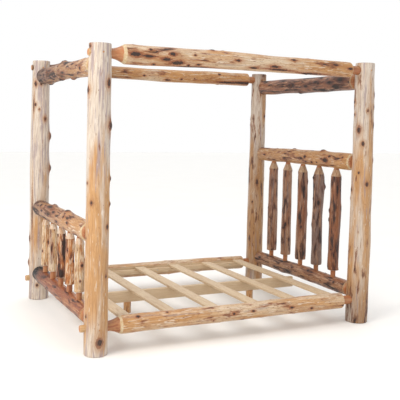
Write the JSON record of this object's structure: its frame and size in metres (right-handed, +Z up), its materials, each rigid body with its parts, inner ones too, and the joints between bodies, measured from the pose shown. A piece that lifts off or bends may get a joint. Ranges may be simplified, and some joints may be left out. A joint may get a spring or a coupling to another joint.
{
  "type": "bed frame",
  "caption": "Four-poster canopy bed frame of peeled cedar logs, with spindle headboard and footboard, canopy rails, and a slatted base inside log side rails.",
  "frame": {"origin": "on the floor, at the centre of the whole frame's outline", "axes": "+X across the bed, to the right of someone who looks from the foot to the head; +Y along the bed from foot to head; +Z up"},
  "size_m": [1.818, 2.4044, 2.0857],
  "materials": {
    "post_logs": "peeled cedar log, clear satin finish",
    "rail_logs": "peeled cedar log with bark flecks, clear satin finish, turned tenon ends",
    "spindle_logs": "peeled cedar pole, clear satin finish",
    "milled_timber": "planed unfinished softwood",
    "steel": "zinc plated",
    "glides": "moulded plastic pad"
  },
  "bodies": {
    "frame": {"canopy_foot_rail": "rail_logs", "canopy_head_rail": "rail_logs", "canopy_peg_foot_left": "spindle_logs", "canopy_peg_foot_right": "spindle_logs", "canopy_peg_head_left": "spindle_logs", "canopy_peg_head_right": "spindle_logs", "canopy_side_rail_left": "rail_logs", "canopy_side_rail_right": "rail_logs", "centre_beam": "milled_timber", "centre_leg_foot": "milled_timber", "centre_leg_head": "milled_timber", "footboard_bottom_rail": "rail_logs", "footboard_spindle_1": "spindle_logs", "footboard_spindle_2": "spindle_logs", "footboard_spindle_3": "spindle_logs", "footboard_spindle_4": "spindle_logs", "footboard_spindle_5": "spindle_logs", "footboard_top_rail": "rail_logs", "headboard_bottom_rail": "rail_logs", "headboard_spindle_1": "spindle_logs", "headboard_spindle_2": "spindle_logs", "headboard_spindle_3": "spindle_logs", "headboard_spindle_4": "spindle_logs", "headboard_spindle_5": "spindle_logs", "headboard_top_rail": "rail_logs", "ledger_left": "milled_timber", "ledger_right": "milled_timber", "ledger_screw_left_1": "steel", "ledger_screw_left_2": "steel", "ledger_screw_left_3": "steel", "ledger_screw_right_1": "steel", "ledger_screw_right_2": "steel", "ledger_screw_right_3": "steel", "post_foot_left": "post_logs", "post_foot_right": "post_logs", "post_head_left": "post_logs", "post_head_right": "post_logs", "side_rail_left": "rail_logs", "side_rail_peg_foot_left": "spindle_logs", "side_rail_peg_foot_right": "spindle_logs", "side_rail_peg_head_left": "spindle_logs", "side_rail_peg_head_right": "spindle_logs", "side_rail_right": "rail_logs", "slat_1": "milled_timber", "slat_2": "milled_timber", "slat_3": "milled_timber", "slat_4": "milled_timber", "slat_5": "milled_timber", "slat_6": "milled_timber", "threaded_insert_foot": "steel", "threaded_insert_head": "steel"},
    "foot_glide": {"levelling_glide_foot": "glides"},
    "head_glide": {"levelling_glide_head": "glides"}
  },
  "joints": [
    {"name": "foot_glide_height", "type": "slide", "parent": "frame", "child": "foot_glide", "axis": [0, 0, 1], "range_m": [0, 0.0115]},
    {"name": "head_glide_height", "type": "slide", "parent": "frame", "child": "head_glide", "axis": [0, 0, 1], "range_m": [0, 0.0115]}
  ]
}
